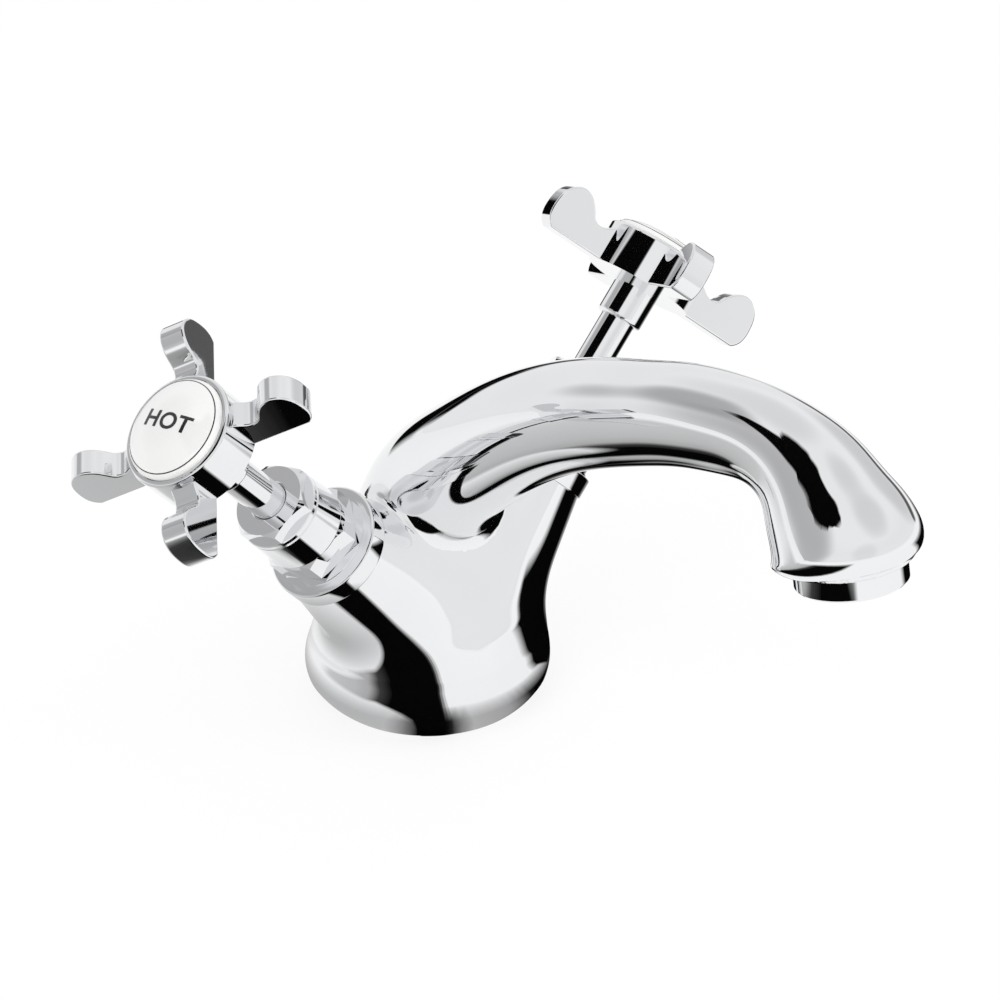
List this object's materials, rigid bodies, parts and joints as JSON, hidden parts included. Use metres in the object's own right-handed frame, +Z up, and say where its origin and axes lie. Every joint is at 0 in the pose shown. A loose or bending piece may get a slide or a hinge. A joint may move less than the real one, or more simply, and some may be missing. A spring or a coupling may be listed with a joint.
{
  "type": "basin mixer tap",
  "caption": "Deck basin mixer tap: arched cast spout with aerator and angled hot and cold valves with crosshead handles, chrome with white index discs.",
  "frame": {"origin": "centre of the base's flat foot, on the deck", "axes": "+Z up, spout reaching towards -Y, hot valve on -X, cold valve on +X"},
  "size_m": [0.1668, 0.1639, 0.109],
  "materials": {
    "chrome": "polished chrome plate",
    "chrome_stem": "polished chrome plate on brass",
    "porcelain": "glazed white porcelain",
    "screw_steel": "turned steel",
    "brass": "turned brass",
    "rubber": "matt black rubber",
    "fibre": "red fibre",
    "packing": "white packing ring",
    "acetal": "light grey moulded plastic"
  },
  "bodies": {
    "tap": {"tap_body": "chrome", "base_seal": "rubber", "aerator_housing": "chrome", "aerator_insert": "acetal", "aerator_screen": "acetal", "aerator_washer": "rubber", "hot_gland_nut": "chrome", "hot_gland_packing": "packing", "hot_bonnet": "chrome", "hot_bonnet_washer": "fibre", "hot_seat": "brass", "cold_gland_nut": "chrome", "cold_gland_packing": "packing", "cold_bonnet": "chrome", "cold_bonnet_washer": "fibre", "cold_seat": "brass"},
    "hot_riser": {"hot_jumper": "brass", "hot_tap_washer": "rubber", "hot_washer_nut": "brass"},
    "hot_handle_set": {"hot_spindle": "chrome_stem", "hot_handle": "chrome", "hot_index": "porcelain", "hot_handle_screw": "screw_steel"},
    "cold_riser": {"cold_jumper": "brass", "cold_tap_washer": "rubber", "cold_washer_nut": "brass"},
    "cold_handle_set": {"cold_spindle": "chrome_stem", "cold_handle": "chrome", "cold_index": "porcelain", "cold_handle_screw": "screw_steel"}
  },
  "joints": [
    {"name": "hot_rise", "type": "slide", "parent": "tap", "child": "hot_riser", "axis": [-0.6845, 0, 0.729], "range_m": [0, 0.004]},
    {"name": "hot_turn", "type": "hinge", "parent": "hot_riser", "child": "hot_handle_set", "pos_m": [-0.04162, -0.0029, 0.05982], "axis": [-0.6845, 0, 0.729], "range_deg": [0, 720]},
    {"name": "cold_rise", "type": "slide", "parent": "tap", "child": "cold_riser", "axis": [0.6845, 0, 0.729], "range_m": [0, 0.004]},
    {"name": "cold_turn", "type": "hinge", "parent": "cold_riser", "child": "cold_handle_set", "pos_m": [0.04162, -0.0029, 0.05982], "axis": [0.6845, 0, 0.729], "range_deg": [0, 720]}
  ],
  "couplings": [
    {"joint": "hot_turn", "follows": "hot_rise", "rad_per_m": 3141.6},
    {"joint": "cold_turn", "follows": "cold_rise", "rad_per_m": 3141.6}
  ]
}
